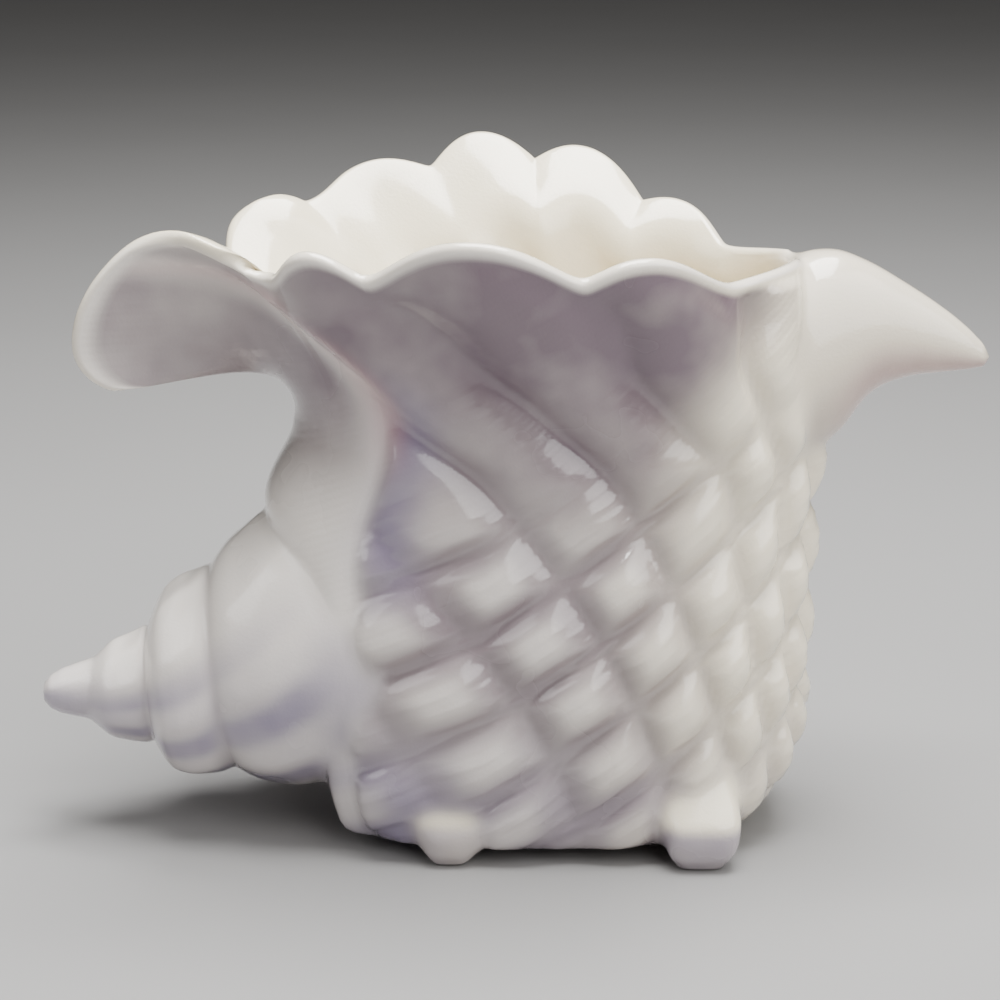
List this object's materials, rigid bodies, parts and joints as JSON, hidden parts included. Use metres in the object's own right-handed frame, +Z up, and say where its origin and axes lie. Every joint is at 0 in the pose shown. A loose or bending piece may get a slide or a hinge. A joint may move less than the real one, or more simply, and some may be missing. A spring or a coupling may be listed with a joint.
{
  "type": "conch shell vase",
  "caption": "Glazed ceramic vase shaped as a conch shell lying on small feet, with a whorled spire, latticed body, flared ear, beak and open scalloped mouth.",
  "frame": {"origin": "centre of the bounding box at the level of the foot pads", "axes": "+X from the spire towards the beak, -Y is the front with the lower rim, +Z up through the mouth"},
  "size_m": [0.3306, 0.1486, 0.236],
  "materials": {
    "glazed_ceramic": "glossy pearl glaze, white with airbrushed lavender, cream inside"
  },
  "bodies": {
    "root": {"conch_vase": "glazed_ceramic"}
  },
  "joints": []
}
